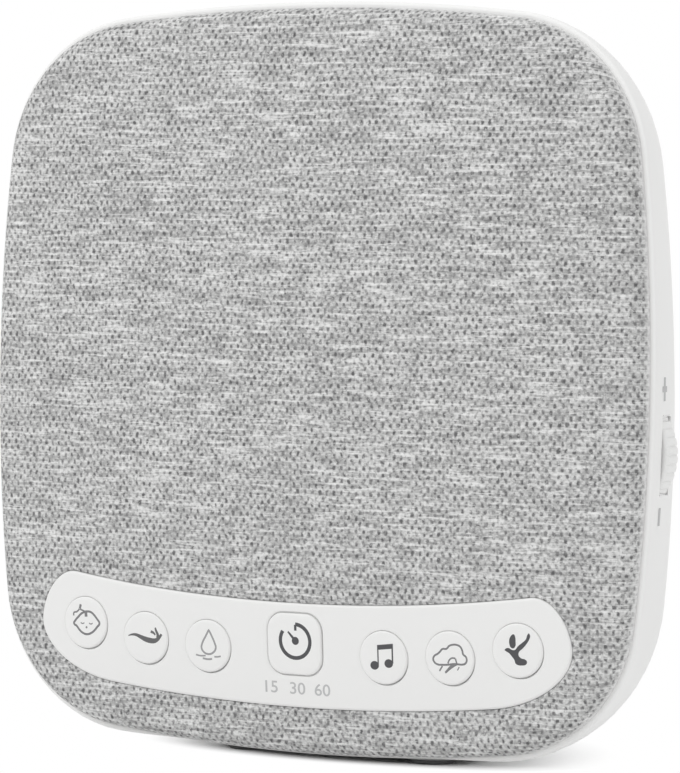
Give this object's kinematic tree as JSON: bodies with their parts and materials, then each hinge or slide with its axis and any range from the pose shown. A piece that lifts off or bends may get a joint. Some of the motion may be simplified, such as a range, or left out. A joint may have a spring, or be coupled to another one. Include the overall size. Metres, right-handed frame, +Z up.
{
  "type": "white noise sound machine",
  "caption": "Cushion-shaped table-top sound machine: domed cloth face, curved strip of push keys, side volume thumb wheel and a speaker inside a rounded shell.",
  "frame": {"origin": "bottom centre of the object, on the plane its rubber feet stand on, midway between front and back", "axes": "+Z up, the cloth face looks along -Y, +X to the right of somebody facing it"},
  "size_m": [0.1328, 0.046, 0.1325],
  "materials": {
    "shell_white": "fine satin moulding",
    "cloth_grey": "heathered woven speaker cloth",
    "strip_white": "satin",
    "key_white": "satin, printed pictograms",
    "wheel_white": "satin, ribbed rim",
    "panel_dark": "matt",
    "rubber_grey": "matt",
    "screw_steel": "zinc plated",
    "label_grey": "smooth film, bare",
    "basket_black": "satin black",
    "foam_black": "foam",
    "surround_black": "matt",
    "cone_black": "pressed paper",
    "coil_copper": "enamelled wire on a former",
    "spider_tan": "resin-dipped cloth",
    "steel_plain": "plain",
    "ferrite": "pressed ferrite",
    "board_green": "solder mask over glass fibre",
    "chip_black": "moulded",
    "switch_black": "moulded",
    "led_amber": "clear resin",
    "guide_clear": "clear moulded plastic",
    "can_aluminium": "sleeved can",
    "socket_ivory": "moulded",
    "ribbon_grey": "flat film",
    "terminal_brown": "pressed board with tags",
    "lead_red": "insulated wire",
    "shaft_plastic": "moulded",
    "pin_nickel": "nickel plated"
  },
  "bodies": {
    "unit": {"rear_housing": "shell_white", "front_panel": "panel_dark", "cloth_cover": "cloth_grey", "control_strip": "strip_white", "volume_pot": "switch_black", "speaker_basket": "basket_black", "speaker_gasket": "foam_black", "speaker_surround": "surround_black", "speaker_cone": "cone_black", "dust_cap": "cone_black", "voice_coil": "coil_copper", "speaker_spider": "spider_tan", "top_plate": "steel_plain", "speaker_magnet": "ferrite", "speaker_yoke": "steel_plain", "speaker_terminal": "terminal_brown", "speaker_screws": "screw_steel", "speaker_leads": "lead_red", "lead_plug": "socket_ivory", "key_board": "board_green", "key_board_screws": "screw_steel", "tact_switches": "switch_black", "timer_leds": "led_amber", "light_guide": "guide_clear", "main_board": "board_green", "board_screws": "screw_steel", "control_chip": "chip_black", "memory_chip": "chip_black", "amplifier_chip": "chip_black", "capacitors": "can_aluminium", "ribbon_cable": "ribbon_grey", "ribbon_sockets": "socket_ivory", "power_jack": "switch_black", "jack_pin": "pin_nickel", "housing_screws": "screw_steel", "rubber_feet": "rubber_grey", "rating_label": "label_grey"},
    "lullaby_button": {"lullaby_key": "key_white"},
    "wind_button": {"wind_key": "key_white"},
    "water_button": {"water_key": "key_white"},
    "timer_button": {"timer_key": "key_white"},
    "music_button": {"music_key": "key_white"},
    "storm_button": {"storm_key": "key_white"},
    "bird_button": {"bird_key": "key_white"},
    "volume_dial": {"volume_wheel": "wheel_white", "volume_shaft": "shaft_plastic"}
  },
  "joints": [
    {"name": "lullaby_press", "type": "slide", "parent": "unit", "child": "lullaby_button", "axis": [0, 1, 0], "range_m": [0, 0.0006], "stiffness_N_per_m": 300, "springref_m": -0.0004},
    {"name": "wind_press", "type": "slide", "parent": "unit", "child": "wind_button", "axis": [0, 1, 0], "range_m": [0, 0.0006], "stiffness_N_per_m": 300, "springref_m": -0.0004},
    {"name": "water_press", "type": "slide", "parent": "unit", "child": "water_button", "axis": [0, 1, 0], "range_m": [0, 0.0006], "stiffness_N_per_m": 300, "springref_m": -0.0004},
    {"name": "timer_press", "type": "slide", "parent": "unit", "child": "timer_button", "axis": [0, 1, 0], "range_m": [0, 0.0006], "stiffness_N_per_m": 300, "springref_m": -0.0004},
    {"name": "music_press", "type": "slide", "parent": "unit", "child": "music_button", "axis": [0, 1, 0], "range_m": [0, 0.0006], "stiffness_N_per_m": 300, "springref_m": -0.0004},
    {"name": "storm_press", "type": "slide", "parent": "unit", "child": "storm_button", "axis": [0, 1, 0], "range_m": [0, 0.0006], "stiffness_N_per_m": 300, "springref_m": -0.0004},
    {"name": "bird_press", "type": "slide", "parent": "unit", "child": "bird_button", "axis": [0, 1, 0], "range_m": [0, 0.0006], "stiffness_N_per_m": 300, "springref_m": -0.0004},
    {"name": "volume_turn", "type": "hinge", "parent": "unit", "child": "volume_dial", "pos_m": [0.0558, -0.01033, 0.0557], "axis": [0, 1, 0], "range_deg": [-150, 150]}
  ]
}
